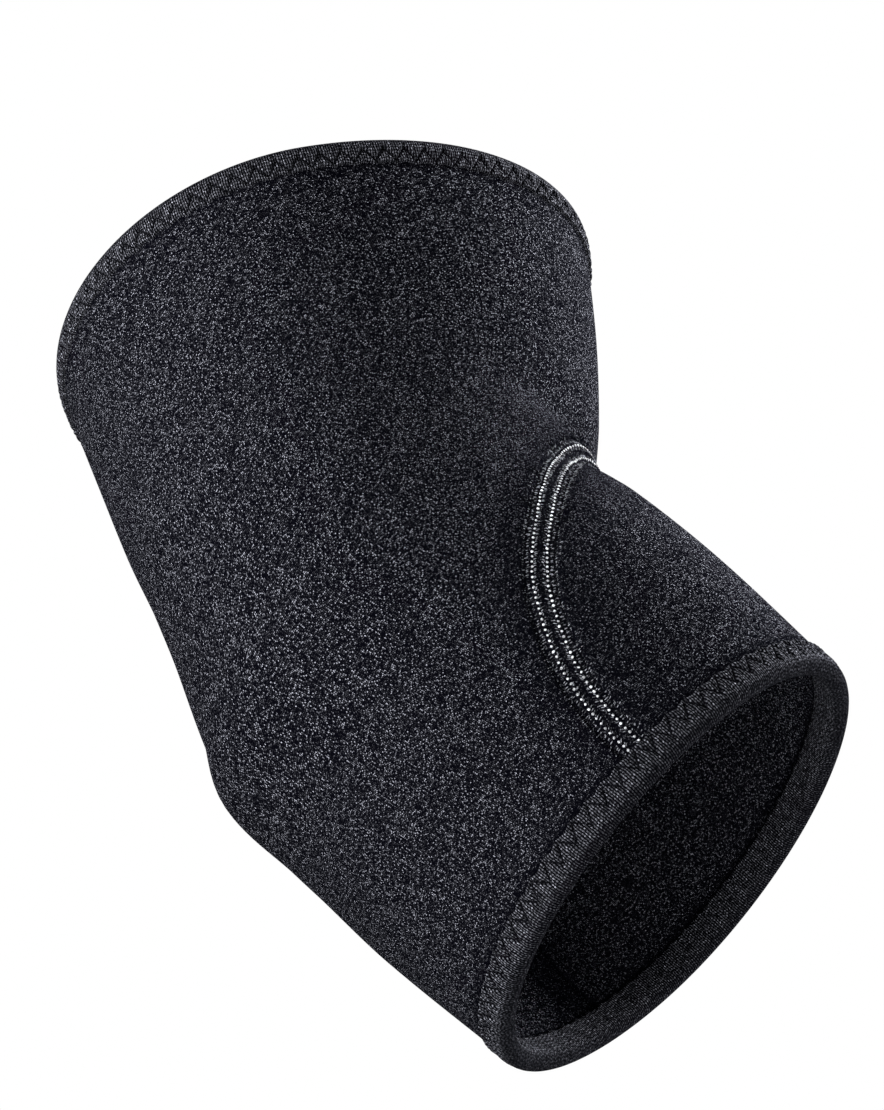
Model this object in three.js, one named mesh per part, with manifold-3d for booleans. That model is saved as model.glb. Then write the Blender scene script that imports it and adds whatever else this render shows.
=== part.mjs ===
// A pull-on elbow brace of cloth-faced foam rubber, bent as it is on a slightly flexed arm.
//
// Lengths are millimetres and +Z points up the upper arm. The arm's centre line lies in the XZ
// plane: it comes down the Z axis, turns at the origin and leaves towards +X and down, so +X is
// the crook side, -X the elbow tip, and the two sides of the arm mirror each other in Y.

import * as THREE from "three";
import { mergeVertices } from "three/addons/utils/BufferGeometryUtils.js";
import Module from "manifold-3d";

const wasm = await Module();
wasm.setup();

// The sleeve's own sizes
const UPPER_LENGTH = 84; // from the origin up to the upper arm's edge
const FOREARM_LENGTH = 79; // from the origin down to the forearm's edge
const BEND_ANGLE = 30; // degrees between the two halves of the arm
const PIVOT_REACH = 92; // from the centre line to the line before the crook that the sleeve bends about
const UPPER_HEM_DEPTH = 115; // crook side to back, across the upper edge
const UPPER_HEM_WIDTH = 107;
const ELBOW_DEPTH = 96; // crook to elbow tip
const ELBOW_WIDTH = 96;
const LOWER_HEM_DEPTH = 99; // crook side to back, across the lower edge
const LOWER_HEM_WIDTH = 99;
const CLOTH_WALL = 3.2;

// The seam strip between the panels
const SEAM_WIDTH = 7;
const SEAM_SINK = 0.6; // how far its face lies under the cloth's
const SEAM_WALL = 2.2;

// The folded tape on both edges
const TAPE_WALL = 0.9;
const UPPER_TAPE_WIDTH = 6.5;
const LOWER_TAPE_WIDTH = 7;

// The creases in the crook
const FOLD_DEPTH = 3.5;
const FOLD_WIDTH = 8;

const CLEARANCE = 0.3; // between neighbouring pieces

// Rows of faces
const FACES_AROUND = 48;
const UPPER_ROWS = 6;
const BEND_ROWS = 14;
const CREASED_REACHES = 1.5; // how far above the origin the bend's close rows start, in bend reaches
const FOREARM_ROWS = 7;
const TAPE_ARC_FACES = 6;
const SEAM_STEPS = 40;
const NUDGE = 0.01; // millimetres and radians, the step of a numeric slope

// One row for each section. along: share of the upper length (above the elbow, negative) or of
// the forearm length; size: the named sizes it follows; depth, width: shares of those sizes;
// crook: the share of the depth that lies on the crook side of the centre line.
const SIZES = {
  upperHem: { depth: UPPER_HEM_DEPTH, width: UPPER_HEM_WIDTH },
  elbow: { depth: ELBOW_DEPTH, width: ELBOW_WIDTH },
  lowerHem: { depth: LOWER_HEM_DEPTH, width: LOWER_HEM_WIDTH },
};
const SECTIONS = [
  { along: -1.0, size: "upperHem", depth: 1.0, width: 1.0, crook: 0.57 },
  { along: -0.7, size: "upperHem", depth: 0.94, width: 0.953, crook: 0.555 },
  { along: -0.47, size: "upperHem", depth: 0.883, width: 0.916, crook: 0.537 },
  { along: -0.2, size: "elbow", depth: 0.958, width: 1.0, crook: 0.511 },
  { along: 0.0, size: "elbow", depth: 1.0, width: 1.0, crook: 0.495 },
  { along: 0.1, size: "elbow", depth: 1.068, width: 1.017, crook: 0.488 },
  { along: 0.25, size: "lowerHem", depth: 1.035, width: 1.01, crook: 0.502 },
  { along: 0.56, size: "lowerHem", depth: 1.041, width: 1.03, crook: 0.493 },
  { along: 1.0, size: "lowerHem", depth: 1.0, width: 1.0, crook: 0.478 },
];

// One row for each crease. along: where it crosses the crook, a share of the upper length; rise:
// the share of that length by which it climbs the arm in a quarter turn; angle: degrees round the
// arm from the crook where it is deepest, on both sides; spread: degrees over which it fades;
// depth, width: shares of the named fold sizes, a negative depth being a ridge.
const FOLDS = [
  { along: -0.2, rise: 0.2, angle: 0, spread: 44, depth: 1.0, width: 0.8 },
  { along: -0.07, rise: 0.2, angle: 40, spread: 22, depth: -0.35, width: 1.1 },
  { along: -0.05, rise: 0.12, angle: 22, spread: 26, depth: -0.5, width: 0.9 },
];

// The seam's centre line, seen from the side. along: share of the forearm length, down the
// forearm's axis; across: share of the lower hem's depth, from that axis towards the crook.
const SEAM_ROUTE = [
  { along: 0.196, across: 0.61 },
  { along: 0.13, across: 0.5 },
  { along: 0.1, across: 0.42 },
  { along: 0.157, across: 0.3 },
  { along: 0.284, across: 0.13 },
  { along: 0.44, across: -0.02 },
  { along: 0.635, across: -0.115 },
  { along: 0.82, across: -0.152 },
  { along: 1.05, across: -0.155 },
];

const BEND = THREE.MathUtils.degToRad(BEND_ANGLE);
const BEND_REACH = PIVOT_REACH * Math.tan(BEND / 2); // along the centre line, origin to bend's end
const BEYOND = 2 * (UPPER_LENGTH + FOREARM_LENGTH); // clear of the whole part

// Smooth values between the rows of the section table
function slopeAt(keys, values, row) {
  const before = Math.max(row - 1, 0);
  const after = Math.min(row + 1, keys.length - 1);
  return (values[after] - values[before]) / (keys[after] - keys[before]);
}

function smoothValue(keys, values, key) {
  let row = 0;
  while (row < keys.length - 2 && key >= keys[row + 1]) {
    row += 1;
  }
  const span = keys[row + 1] - keys[row];
  const t = (key - keys[row]) / span;
  const start = slopeAt(keys, values, row) * span;
  const end = slopeAt(keys, values, row + 1) * span;
  const rise = values[row + 1] - values[row];
  return values[row] + t * (start + t * (3 * rise - 2 * start - end + t * (start + end - 2 * rise)));
}

const sectionKeys = SECTIONS.map((row) => row.along);
const crookHalves = SECTIONS.map((row) => row.crook * row.depth * SIZES[row.size].depth);
const backHalves = SECTIONS.map((row) => (1 - row.crook) * row.depth * SIZES[row.size].depth);
const sideHalves = SECTIONS.map((row) => (row.width * SIZES[row.size].width) / 2);

// The centre line at a station, in millimetres from the origin, and its direction to the crook
function centreLine(station) {
  const turned = THREE.MathUtils.clamp((station + BEND_REACH) / (2 * BEND_REACH), 0, 1);
  const angle = BEND * turned;
  const toCrook = new THREE.Vector3(Math.cos(angle), 0, Math.sin(angle));
  const centre = new THREE.Vector3(PIVOT_REACH, 0, BEND_REACH).addScaledVector(toCrook, -PIVOT_REACH);
  centre.z += Math.max(-BEND_REACH - station, 0);
  const past = Math.max(station - BEND_REACH, 0);
  centre.x += past * Math.sin(BEND);
  centre.z -= past * Math.cos(BEND);
  return { centre, toCrook };
}

// A point of the sleeve before its creases. angle: radians round the arm, 0 in the crook
function smoothPoint(station, angle) {
  const along = station / (station < 0 ? UPPER_LENGTH : FOREARM_LENGTH);
  const halves = Math.cos(angle) > 0 ? crookHalves : backHalves;
  const { centre, toCrook } = centreLine(station);
  const point = centre.addScaledVector(toCrook, Math.cos(angle) * smoothValue(sectionKeys, halves, along));
  point.y = -Math.sin(angle) * smoothValue(sectionKeys, sideHalves, along);
  return point;
}

// The unit vector out of a surface that is given as a function of station and angle
function outward(surface, station, angle) {
  const down = surface(station + NUDGE, angle).sub(surface(station - NUDGE, angle));
  const round = surface(station, angle + NUDGE).sub(surface(station, angle - NUDGE));
  return round.cross(down).normalize();
}

// How deep the creases sink the cloth, in millimetres
function foldDepth(station, angle) {
  const turned = Math.abs(THREE.MathUtils.euclideanModulo(angle + Math.PI, 2 * Math.PI) - Math.PI);
  let depth = 0;
  for (const fold of FOLDS) {
    const climbed = (fold.rise * turned) / (Math.PI / 2);
    const across = (station - (fold.along - climbed) * UPPER_LENGTH) / (fold.width * FOLD_WIDTH);
    const round = (THREE.MathUtils.radToDeg(turned) - fold.angle) / fold.spread;
    depth += fold.depth * FOLD_DEPTH * Math.exp(-across * across - round * round);
  }
  return depth;
}

// The cloth's outer face
function clothPoint(station, angle) {
  const normal = outward(smoothPoint, station, angle);
  return smoothPoint(station, angle).addScaledVector(normal, -foldDepth(station, angle));
}

// A point off the outer face: positive offsets stand out, negative ones lie inside
function offsetPoint(station, angle, offset) {
  const normal = outward(clothPoint, station, angle);
  return clothPoint(station, angle).addScaledVector(normal, offset);
}

// A closed ring whose section is a closed loop of { station, offset } corners
function ringGeometry(loop) {
  const positions = [];
  for (let column = 0; column < FACES_AROUND; column += 1) {
    const angle = (2 * Math.PI * column) / FACES_AROUND;
    for (const corner of loop) {
      positions.push(...offsetPoint(corner.station, angle, corner.offset));
    }
  }
  const indices = [];
  for (let column = 0; column < FACES_AROUND; column += 1) {
    const here = column * loop.length;
    const next = ((column + 1) % FACES_AROUND) * loop.length;
    for (let corner = 0; corner < loop.length; corner += 1) {
      const following = (corner + 1) % loop.length;
      indices.push(here + corner, next + corner, here + following);
      indices.push(here + following, next + corner, next + following);
    }
  }
  const geometry = new THREE.BufferGeometry();
  geometry.setAttribute("position", new THREE.Float32BufferAttribute(positions, 3));
  geometry.setIndex(indices);
  return geometry;
}

function stationsBetween(first, last, rows) {
  return Array.from({ length: rows }, (_, row) => first + ((last - first) * row) / rows);
}

// Stations down the sleeve, closer together in the creases and the bend
function wallStations(upperEnd, lowerEnd) {
  const bendStart = -CREASED_REACHES * BEND_REACH;
  const bendEnd = BEND_REACH;
  return [
    ...stationsBetween(upperEnd, bendStart, UPPER_ROWS),
    ...stationsBetween(bendStart, bendEnd, BEND_ROWS),
    ...stationsBetween(bendEnd, lowerEnd, FOREARM_ROWS),
    lowerEnd,
  ];
}

// A wall between two depths under the cloth's outer face
function wallGeometry(outerDepth, innerDepth) {
  const foldRadius = tapeFoldRadius();
  const stations = wallStations(foldRadius - UPPER_LENGTH, FOREARM_LENGTH - foldRadius);
  const outer = stations.map((station) => ({ station, offset: -outerDepth }));
  const inner = stations.map((station) => ({ station, offset: -innerDepth })).reverse();
  return ringGeometry([...outer, ...inner]);
}

// Half the thickness of the folded edge, which is also the radius of its round end
function tapeFoldRadius() {
  return CLOTH_WALL / 2 + CLEARANCE + TAPE_WALL;
}

// The tape folded over an edge. edge: the station of the edge; inwards: +1 or -1, the direction
// along the arm from the edge into the sleeve
function bindingGeometry(edge, inwards, tapeWidth) {
  const middle = -CLOTH_WALL / 2;
  const radius = tapeFoldRadius();
  const corner = (distance, offset) => ({ station: edge + inwards * distance, offset });
  const arc = (arcRadius) =>
    Array.from({ length: TAPE_ARC_FACES + 1 }, (_, step) => {
      const turn = (Math.PI * step) / TAPE_ARC_FACES;
      return corner(radius - arcRadius * Math.sin(turn), middle + arcRadius * Math.cos(turn));
    });
  const outside = [corner(tapeWidth, middle + radius), ...arc(radius), corner(tapeWidth, middle - radius)];
  const innerRadius = radius - TAPE_WALL;
  const inside = [corner(tapeWidth, middle + innerRadius), ...arc(innerRadius)];
  inside.push(corner(tapeWidth, middle - innerRadius));
  const loop = [...outside, ...inside.reverse()];
  return ringGeometry(inwards > 0 ? loop.reverse() : loop);
}

// The seam's centre line as points in the XZ plane, from beyond the crook to beyond the lower edge
function seamPath() {
  const down = new THREE.Vector3(Math.sin(BEND), 0, -Math.cos(BEND));
  const toCrook = new THREE.Vector3(Math.cos(BEND), 0, Math.sin(BEND));
  const points = SEAM_ROUTE.map((row) =>
    new THREE.Vector3()
      .addScaledVector(down, row.along * FOREARM_LENGTH)
      .addScaledVector(toCrook, row.across * LOWER_HEM_DEPTH),
  );
  const path = new THREE.CatmullRomCurve3(points).getSpacedPoints(SEAM_STEPS);
  const first = path[0].clone().sub(path[1]).normalize();
  const last = path[SEAM_STEPS].clone().sub(path[SEAM_STEPS - 1]).normalize();
  path.unshift(path[0].clone().addScaledVector(first, BEYOND));
  path.push(path[path.length - 1].clone().addScaledVector(last, BEYOND));
  return path;
}

// The seam path moved sideways in the XZ plane; positive is towards the forearm panel
function seamEdge(shift) {
  const path = seamPath();
  return path.map((point, step) => {
    const before = path[Math.max(step - 1, 0)];
    const after = path[Math.min(step + 1, path.length - 1)];
    const along = after.clone().sub(before).normalize();
    return new THREE.Vector2(point.x - along.z * shift, point.z + along.x * shift);
  });
}

// A prism across the whole arm over an outline in the XZ plane
function sidePrism(outline) {
  const shape = new THREE.Shape(outline);
  const geometry = new THREE.ExtrudeGeometry(shape, { depth: 2 * BEYOND, bevelEnabled: false, steps: 1 });
  geometry.rotateX(Math.PI / 2);
  geometry.translate(0, BEYOND, 0);
  return geometry;
}

// Everything on the forearm panel's side of the seam path, moved sideways by shift
function forearmSide(shift) {
  const edge = seamEdge(shift);
  const corner = new THREE.Vector2(BEYOND, -BEYOND);
  return sidePrism([...edge, corner]);
}

function seamStrip() {
  const half = SEAM_WIDTH / 2;
  return sidePrism([...seamEdge(half), ...seamEdge(-half).reverse()]);
}

function toSolid(geometry) {
  const bare = geometry.clone();
  bare.deleteAttribute("normal");
  bare.deleteAttribute("uv");
  const merged = mergeVertices(bare);
  const mesh = new wasm.Mesh({
    numProp: 3,
    vertProperties: new Float32Array(merged.attributes.position.array),
    triVerts: new Uint32Array(merged.index.array),
  });
  return new wasm.Manifold(mesh);
}

function toGeometry(solid) {
  const mesh = solid.getMesh();
  const geometry = new THREE.BufferGeometry();
  geometry.setAttribute("position", new THREE.BufferAttribute(mesh.vertProperties, 3));
  geometry.setIndex(new THREE.BufferAttribute(mesh.triVerts, 1));
  geometry.computeVertexNormals();
  return geometry;
}

const cloth = new THREE.MeshStandardMaterial({ color: 0x2a2a30, roughness: 0.92, metalness: 0 });
const seamCloth = new THREE.MeshStandardMaterial({ color: 0x17171a, roughness: 0.9, metalness: 0 });
const tape = new THREE.MeshStandardMaterial({ color: 0x222226, roughness: 0.95, metalness: 0 });

function namedMesh(name, geometry, material) {
  const mesh = new THREE.Mesh(geometry, material);
  mesh.name = name;
  return mesh;
}

const seamHalfGap = SEAM_WIDTH / 2 + CLEARANCE;

function mainPanel() {
  const wall = toSolid(wallGeometry(0, CLOTH_WALL));
  return toGeometry(wall.subtract(toSolid(forearmSide(-seamHalfGap))));
}

function forearmPanel() {
  const wall = toSolid(wallGeometry(0, CLOTH_WALL));
  return toGeometry(wall.intersect(toSolid(forearmSide(seamHalfGap))));
}

function flatSeam() {
  const wall = toSolid(wallGeometry(SEAM_SINK, SEAM_SINK + SEAM_WALL));
  return toGeometry(wall.intersect(toSolid(seamStrip())));
}

const brace = new THREE.Group();
brace.name = "elbow_brace";
brace.add(namedMesh("main_panel", mainPanel(), cloth));
brace.add(namedMesh("forearm_panel", forearmPanel(), cloth));
brace.add(namedMesh("flat_seam", flatSeam(), seamCloth));
brace.add(namedMesh("upper_binding", bindingGeometry(-UPPER_LENGTH, 1, UPPER_TAPE_WIDTH), tape));
brace.add(namedMesh("lower_binding", bindingGeometry(FOREARM_LENGTH, -1, LOWER_TAPE_WIDTH), tape));

export default brace;
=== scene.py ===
# Blender look of the pull-on elbow brace. Everything is in metres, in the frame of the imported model.

import math

import bpy
import numpy as np
from mathutils import Matrix, Vector


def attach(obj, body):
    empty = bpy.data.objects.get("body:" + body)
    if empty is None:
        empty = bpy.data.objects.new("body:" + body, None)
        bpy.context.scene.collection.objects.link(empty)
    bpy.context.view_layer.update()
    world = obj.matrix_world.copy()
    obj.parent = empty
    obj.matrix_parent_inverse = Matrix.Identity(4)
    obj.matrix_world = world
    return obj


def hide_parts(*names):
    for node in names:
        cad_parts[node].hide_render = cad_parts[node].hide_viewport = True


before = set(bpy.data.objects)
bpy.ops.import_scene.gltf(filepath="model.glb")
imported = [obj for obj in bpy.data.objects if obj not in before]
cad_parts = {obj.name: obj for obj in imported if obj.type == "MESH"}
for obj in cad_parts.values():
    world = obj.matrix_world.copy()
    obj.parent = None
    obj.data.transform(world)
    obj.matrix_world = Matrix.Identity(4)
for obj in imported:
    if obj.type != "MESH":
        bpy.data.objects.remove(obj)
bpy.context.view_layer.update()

MM = 0.001

# Sizes of the sleeve, the same as in the CAD model
UPPER_LENGTH = 84 * MM
FOREARM_LENGTH = 79 * MM
BEND = math.radians(30)
PIVOT_REACH = 92 * MM
UPPER_HEM_DEPTH = 115 * MM
UPPER_HEM_WIDTH = 107 * MM
ELBOW_DEPTH = 96 * MM
ELBOW_WIDTH = 96 * MM
LOWER_HEM_DEPTH = 99 * MM
LOWER_HEM_WIDTH = 99 * MM
CLOTH_WALL = 3.2 * MM
SEAM_WIDTH = 7 * MM
SEAM_SINK = 0.6 * MM
SEAM_WALL = 2.2 * MM
TAPE_WALL = 0.9 * MM
UPPER_TAPE_WIDTH = 6.5 * MM
LOWER_TAPE_WIDTH = 7 * MM
FOLD_DEPTH = 3.5 * MM
FOLD_WIDTH = 8 * MM
CLEARANCE = 0.3 * MM

BEND_REACH = PIVOT_REACH * math.tan(BEND / 2)
TAPE_FOLD = CLOTH_WALL / 2 + CLEARANCE + TAPE_WALL

# Columns: share along, size that it follows, share of its depth, of its width, crook's share
SECTIONS = [
    (-1.0, "upper", 1.0, 1.0, 0.57),
    (-0.7, "upper", 0.94, 0.953, 0.555),
    (-0.47, "upper", 0.883, 0.916, 0.537),
    (-0.2, "elbow", 0.958, 1.0, 0.511),
    (0.0, "elbow", 1.0, 1.0, 0.495),
    (0.1, "elbow", 1.068, 1.017, 0.488),
    (0.25, "lower", 1.035, 1.01, 0.502),
    (0.56, "lower", 1.041, 1.03, 0.493),
    (1.0, "lower", 1.0, 1.0, 0.478),
]
DEPTHS = {"upper": UPPER_HEM_DEPTH, "elbow": ELBOW_DEPTH, "lower": LOWER_HEM_DEPTH}
WIDTHS = {"upper": UPPER_HEM_WIDTH, "elbow": ELBOW_WIDTH, "lower": LOWER_HEM_WIDTH}

# Columns: share along, rise in a quarter turn, angle, spread, share of the depth, of the width
FOLDS = [
    (-0.2, 0.2, 0, 44, 1.0, 0.8),
    (-0.07, 0.2, 40, 22, -0.35, 1.1),
    (-0.05, 0.12, 22, 26, -0.5, 0.9),
]

# The seam's centre line from the side: share down the forearm, share of the depth to the crook
SEAM_ROUTE = [
    (0.196, 0.61),
    (0.13, 0.5),
    (0.1, 0.42),
    (0.157, 0.3),
    (0.284, 0.13),
    (0.44, -0.02),
    (0.635, -0.115),
    (0.82, -0.152),
    (1.05, -0.155),
]

# Steps of the meshes and of the sums
CELL_ROUND = 320
CELL_DOWN = 1.05 * MM
SEAM_STEP = 0.3 * MM
ROUTE_STEPS = 200
SLOPE_STEP = 0.01 * MM
TURN_STEP = 0.0005


# The sleeve's surface

SECTION_KEYS = np.array([row[0] for row in SECTIONS])
CROOK_HALVES = np.array([row[4] * row[2] * DEPTHS[row[1]] for row in SECTIONS])
BACK_HALVES = np.array([(1 - row[4]) * row[2] * DEPTHS[row[1]] for row in SECTIONS])
SIDE_HALVES = np.array([row[3] * WIDTHS[row[1]] / 2 for row in SECTIONS])


def share_along(station):
    """A station is how far below the elbow a section lies, less than 0 up the arm."""
    return station / np.where(station < 0, UPPER_LENGTH, FOREARM_LENGTH)


def smooth_value(values, along):
    """Smooth curve through a column of the section table."""
    keys = SECTION_KEYS
    before = np.maximum(np.arange(len(keys)) - 1, 0)
    after = np.minimum(np.arange(len(keys)) + 1, len(keys) - 1)
    slopes = (values[after] - values[before]) / (keys[after] - keys[before])
    row = np.clip(np.searchsorted(keys, along, side="right") - 1, 0, len(keys) - 2)
    span = keys[row + 1] - keys[row]
    t = (along - keys[row]) / span
    start, end, rise = slopes[row] * span, slopes[row + 1] * span, values[row + 1] - values[row]
    return values[row] + t * (start + t * (3 * rise - 2 * start - end + t * (start + end - 2 * rise)))


def centre_line(station):
    """Points of the arm's centre line and the unit vectors from it to the crook."""
    turned = BEND * np.clip((station + BEND_REACH) / (2 * BEND_REACH), 0, 1)
    to_crook = np.stack([np.cos(turned), 0 * turned, np.sin(turned)], axis=-1)
    centre = np.array([PIVOT_REACH, 0, BEND_REACH]) - PIVOT_REACH * to_crook
    centre[..., 2] += np.maximum(-BEND_REACH - station, 0)
    past = np.maximum(station - BEND_REACH, 0)
    centre[..., 0] += past * math.sin(BEND)
    centre[..., 2] -= past * math.cos(BEND)
    return centre, to_crook


def smooth_point(station, angle):
    """The sleeve before its creases. angle is in radians round the arm, 0 in the crook."""
    along = share_along(station)
    crook = smooth_value(CROOK_HALVES, along)
    back = smooth_value(BACK_HALVES, along)
    side = smooth_value(SIDE_HALVES, along)
    centre, to_crook = centre_line(station)
    reach = np.cos(angle) * np.where(np.cos(angle) > 0, crook, back)
    point = centre + to_crook * reach[..., None]
    point[..., 1] = -np.sin(angle) * side
    return point


def slopes_at(surface, station, angle):
    """How a surface's points move as the station and the angle grow."""
    below = surface(station + SLOPE_STEP, angle)
    above = surface(station - SLOPE_STEP, angle)
    onward = surface(station, angle + TURN_STEP)
    back = surface(station, angle - TURN_STEP)
    return (below - above) / (2 * SLOPE_STEP), (onward - back) / (2 * TURN_STEP)


def outward(surface, station, angle):
    """The surface's unit normals."""
    down, turn = slopes_at(surface, station, angle)
    normal = np.cross(turn, down)
    return normal / np.linalg.norm(normal, axis=-1, keepdims=True)


def fold_depth(station, angle):
    """How deep the creases are, as arcs that climb from the crook to both sides."""
    turned = np.abs((angle + math.pi) % (2 * math.pi) - math.pi)
    depth = 0 * turned
    for along, rise, centre, spread, share, width in FOLDS:
        climbed = rise * turned / (math.pi / 2)
        across = (station - (along - climbed) * UPPER_LENGTH) / (width * FOLD_WIDTH)
        round_it = (np.degrees(turned) - centre) / spread
        depth = depth + share * FOLD_DEPTH * np.exp(-(across**2) - round_it**2)
    return depth


def cloth_point(station, angle):
    """The cloth's outer face."""
    depth = fold_depth(station, angle)
    return smooth_point(station, angle) - outward(smooth_point, station, angle) * depth[..., None]


def offset_point(station, angle, offset):
    """A point off the cloth's outer face: positive offsets stand out, negative ones lie inside."""
    station, angle, offset = np.broadcast_arrays(station, angle, offset)
    return cloth_point(station, angle) + outward(cloth_point, station, angle) * offset[..., None]


# The seam's centre line on the sleeve


def catmull_rom(points, per_span):
    """Points along a centripetal Catmull-Rom curve, the same as in the CAD model."""
    ends = [2 * points[0] - points[1], *points, 2 * points[-1] - points[-2]]
    out = []
    for p0, p1, p2, p3 in zip(ends, ends[1:], ends[2:], ends[3:]):
        gaps = [max(np.linalg.norm(b - a) ** 0.5, 1e-9) for a, b in ((p0, p1), (p1, p2), (p2, p3))]
        m1 = ((p1 - p0) / gaps[0] - (p2 - p0) / (gaps[0] + gaps[1]) + (p2 - p1) / gaps[1]) * gaps[1]
        m2 = ((p2 - p1) / gaps[1] - (p3 - p1) / (gaps[1] + gaps[2]) + (p3 - p2) / gaps[2]) * gaps[1]
        for step in range(per_span):
            t = step / per_span
            out.append(
                (2 * t**3 - 3 * t**2 + 1) * p1
                + (t**3 - 2 * t**2 + t) * m1
                + (3 * t**2 - 2 * t**3) * p2
                + (t**3 - t**2) * m2
            )
    out.append(points[-1])
    return np.array(out)


def line_length(points):
    """How far along a line each of its points lies."""
    return np.concatenate([[0], np.cumsum(np.linalg.norm(np.diff(points, axis=0), axis=1))])


def side_to_station(x, z):
    """Station and reach towards the crook of a point that is seen from the side."""
    from_pivot_x, from_pivot_z = x - PIVOT_REACH, z - BEND_REACH
    turned = np.arctan2(-from_pivot_z, -from_pivot_x)
    above, below = turned < 0, turned > BEND
    station = -BEND_REACH + 2 * BEND_REACH * turned / BEND
    station = np.where(above, -z, np.where(below, x * math.sin(BEND) - z * math.cos(BEND), station))
    reach = PIVOT_REACH - np.hypot(from_pivot_x, from_pivot_z)
    reach = np.where(above, x, np.where(below, x * math.cos(BEND) + z * math.sin(BEND), reach))
    return station, reach


def seam_places():
    """Station and angle along the seam, which runs up one side, round the crook and down the other."""
    down = np.array([math.sin(BEND), -math.cos(BEND)])
    to_crook = np.array([math.cos(BEND), math.sin(BEND)])
    route = [
        down * along * FOREARM_LENGTH + to_crook * across * LOWER_HEM_DEPTH
        for along, across in SEAM_ROUTE
    ]
    path = catmull_rom(route, ROUTE_STEPS)
    station, reach = side_to_station(path[:, 0], path[:, 1])
    along = share_along(station)
    half = np.where(reach > 0, smooth_value(CROOK_HALVES, along), smooth_value(BACK_HALVES, along))
    on = reach < half
    station, angle = station[on], np.arccos(reach[on] / half[on])
    return np.concatenate([station[::-1], station]), np.concatenate([angle[::-1], -angle])


class Seam:
    """The seam's centre line on the cloth, and the directions along it and across it."""

    COARSE_STEP = 4  # the nearest point is first looked for among every fourth one
    BATCH = 4000  # points that are looked for at once

    def __init__(self):
        station, angle = seam_places()
        length = line_length(cloth_point(station, angle))
        self.at = np.linspace(0, length[-1], int(length[-1] / SEAM_STEP) + 1)
        self.station = np.interp(self.at, length, station)
        self.angle = np.interp(self.at, length, angle)
        self.shown = self.at[self.station <= FOREARM_LENGTH - TAPE_FOLD - CLEARANCE]
        self.point = cloth_point(self.station, self.angle)
        self.tangent = np.gradient(self.point, axis=0)
        self.tangent /= np.linalg.norm(self.tangent, axis=1, keepdims=True)
        self.side = np.cross(self.tangent, outward(cloth_point, self.station, self.angle))
        inside = cloth_point(np.array([FOREARM_LENGTH / 2]), np.array([0.0]))[0]
        middle = len(self.at) // 2
        if np.dot(inside - self.point[middle], self.side[middle]) < 0:
            self.side = -self.side
        self.station_rate, self.angle_rate = self.rates_across()

    def rates_across(self):
        """How fast the station and the angle change on the way across the seam."""
        down, turn = slopes_at(cloth_point, self.station, self.angle)
        a, b, c, p, q = (
            np.einsum("ij,ij->i", first, second)
            for first, second in (
                (down, down),
                (down, turn),
                (turn, turn),
                (down, self.side),
                (turn, self.side),
            )
        )
        return (p * c - q * b) / (a * c - b * b), (q * a - p * b) / (a * c - b * b)

    def place(self, at, across):
        """Station and angle of a point at a distance along the seam and across from it."""
        station, angle, station_rate, angle_rate = (
            np.interp(at, self.at, values)
            for values in (self.station, self.angle, self.station_rate, self.angle_rate)
        )
        return station + across * station_rate, angle + across * angle_rate

    def nearest(self, points):
        """How far along the seam each point's nearest place lies, and its signed distance across."""
        index = np.empty(len(points), dtype=int)
        coarse = self.point[:: self.COARSE_STEP]
        for first in range(0, len(points), self.BATCH):
            batch = slice(first, first + self.BATCH)
            squares = ((points[batch, None] - coarse[None]) ** 2).sum(axis=2)
            index[batch] = squares.argmin(axis=1) * self.COARSE_STEP
        away = points - self.point[index]
        at = self.at[index] + np.einsum("ij,ij->i", away, self.tangent[index])
        index = np.clip(np.round(at / self.at[1]).astype(int), 0, len(self.at) - 1)
        away = points - self.point[index]
        side = np.sign(np.einsum("ij,ij->i", away, self.side[index]))
        return self.at[index], np.linalg.norm(away, axis=1) * side


seam = Seam()


# Meshes


def make_object(name, positions, faces, uvs, material, node):
    """A smooth piece that stands for a node. uvs has a row for each corner of each face."""
    mesh = bpy.data.meshes.new(name)
    mesh.from_pydata([tuple(p) for p in positions], [], faces)
    if uvs is not None:
        mesh.uv_layers.new(name="Cloth").data.foreach_set("uv", uvs.ravel())
    mesh.polygons.foreach_set("use_smooth", [True] * len(mesh.polygons))
    mesh.update()
    obj = bpy.data.objects.new(name, mesh)
    bpy.context.scene.collection.objects.link(obj)
    obj.data.materials.append(material)
    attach(obj, "root")
    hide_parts(node)
    return obj


def at_corners(faces, values):
    """The points' values, given again for each corner of each face."""
    return values[np.fromiter((i for face in faces for i in face), dtype=int)]


def set_painted_shade(obj, values):
    """Marks the painted shade at each point: 0 for plain cloth, 1 for the deepest shade, as down in a fold.
    """
    layer = obj.data.attributes.new("dark", "FLOAT", "POINT")
    layer.data.foreach_set("value", values)


def boundary_edges(faces):
    """Edges that one face uses, in that face's direction."""
    seen = {}
    for face in faces:
        for a, b in zip(face, face[1:] + face[:1]):
            key = (min(a, b), max(a, b))
            seen[key] = None if key in seen else (a, b)
    return [edge for edge in seen.values() if edge]


def join_parts(parts):
    """One list of points and one of faces from several."""
    positions, faces, count = [], [], 0
    for part_positions, part_faces in parts:
        positions.append(part_positions)
        faces.extend([i + count for i in face] for face in part_faces)
        count += len(part_positions)
    return np.concatenate(positions), faces


def hill(x):
    """1 at 0, falling smoothly to both sides."""
    return np.exp(-(x**2))


def smooth_step(x):
    """0 up to 0, 1 from 1, and smooth between them."""
    x = np.clip(x, 0, 1)
    return x * x * (3 - 2 * x)


def roll(distance, radius):
    """How far a rounded edge drops, at a distance in from it."""
    x = np.clip(distance / radius, 0, 1)
    return radius * (1 - np.sqrt(1 - (1 - x) ** 2))


# The two panels

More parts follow.
